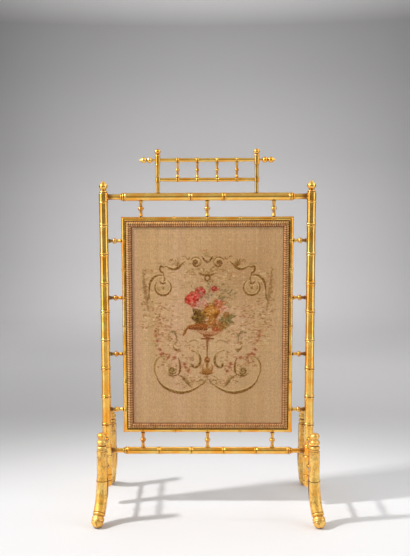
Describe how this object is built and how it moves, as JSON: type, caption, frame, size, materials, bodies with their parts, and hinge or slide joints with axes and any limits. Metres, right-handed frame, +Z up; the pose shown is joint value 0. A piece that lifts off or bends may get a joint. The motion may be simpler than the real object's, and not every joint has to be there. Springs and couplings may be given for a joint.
{
  "type": "fire screen",
  "caption": "Free-standing fire screen of gilded wood turned to look like bamboo, with a stretched tapestry panel, a crest gallery and curved front and back legs.",
  "frame": {"origin": "on the floor, midway between the four feet, in the posts' plane", "axes": "+X to the right across the screen as seen from the front, the tapestry looks along -Y, +Z up"},
  "size_m": [0.6584, 0.3898, 1.0591],
  "materials": {
    "gilding": "burnished gold leaf over brown-red bole on turned wood, rubbed dark in the grooves",
    "leg_gilding": "older matte gilding on turned wood, crackled and worn to brown at the feet",
    "bare_wood": "bare softwood",
    "tapestry": "ribbed wool and silk tapestry with a flower basket and scrolls in faded colours",
    "canvas": "plain linen canvas",
    "lining": "plain cotton sateen",
    "gimp": "ribbed furnishing braid with a corded edge, rose brown",
    "back_gimp": "flat woven braid",
    "tack_iron": "blued iron tacks",
    "brad_iron": "plain iron brads"
  },
  "bodies": {
    "root": {"post_finial_left": "gilding", "post_finial_right": "gilding", "post_left": "gilding", "post_right": "gilding", "front_leg_left": "leg_gilding", "front_leg_right": "leg_gilding", "back_leg_left": "leg_gilding", "back_leg_right": "leg_gilding", "leg_spacer_back_left_lower": "gilding", "leg_spacer_back_left_upper": "gilding", "leg_spacer_back_right_lower": "gilding", "leg_spacer_back_right_upper": "gilding", "leg_spacer_front_left_lower": "gilding", "leg_spacer_front_left_upper": "gilding", "leg_spacer_front_right_lower": "gilding", "leg_spacer_front_right_upper": "gilding", "top_rail": "gilding", "bottom_rail": "gilding", "crest_knob_left": "gilding", "crest_knob_right": "gilding", "crest_lower_rail": "gilding", "crest_post_left": "gilding", "crest_post_right": "gilding", "crest_spindle_1": "gilding", "crest_spindle_2": "gilding", "crest_spindle_3": "gilding", "crest_spindle_4": "gilding", "crest_top_rail": "gilding", "panel_frame_bottom": "gilding", "panel_frame_left": "gilding", "panel_frame_right": "gilding", "panel_frame_top": "gilding", "top_spindle_left": "gilding", "top_spindle_middle": "gilding", "top_spindle_right": "gilding", "bottom_spindle_left": "gilding", "bottom_spindle_middle": "gilding", "bottom_spindle_right": "gilding", "side_spindle_left_1": "gilding", "side_spindle_left_2": "gilding", "side_spindle_left_3": "gilding", "side_spindle_left_4": "gilding", "side_spindle_right_1": "gilding", "side_spindle_right_2": "gilding", "side_spindle_right_3": "gilding", "side_spindle_right_4": "gilding", "strainer_bottom": "bare_wood", "strainer_brads": "brad_iron", "strainer_left": "bare_wood", "strainer_right": "bare_wood", "strainer_top": "bare_wood", "canvas_interlining": "canvas", "tapestry_panel": "tapestry", "tapestry_tacks": "tack_iron", "back_lining": "lining", "front_gimp": "gimp", "back_gimp": "back_gimp", "lining_tacks": "tack_iron", "frame_corner_dowels": "bare_wood"}
  },
  "joints": []
}
